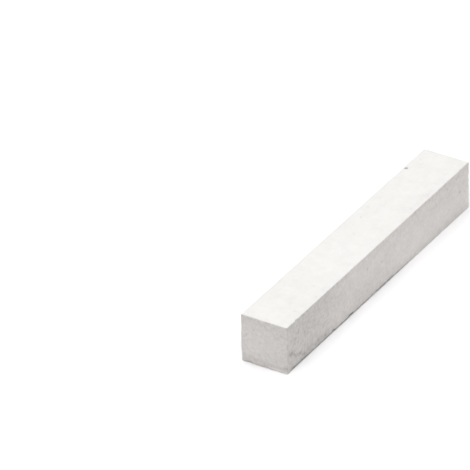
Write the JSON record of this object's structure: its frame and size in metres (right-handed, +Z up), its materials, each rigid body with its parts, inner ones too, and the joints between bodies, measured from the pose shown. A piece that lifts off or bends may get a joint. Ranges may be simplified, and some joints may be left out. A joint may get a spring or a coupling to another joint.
{
  "type": "chalk stick",
  "caption": "Square stick of natural white chalk, sawn from the block, with rubbed arrises, small chips and pits, for writing and marking by hand.",
  "frame": {"origin": "middle of the bed face, the face that the stick rests on", "axes": "+X along the stick from the near end to the far end, +Y across to its left side, +Z up"},
  "size_m": [0.08, 0.0116, 0.012],
  "materials": {
    "natural_chalk": "dry matt natural chalk as sawn, near white with a faint warm grey mottle and an even powdery grain"
  },
  "bodies": {
    "root": {"chalk_stick": "natural_chalk"}
  },
  "joints": []
}
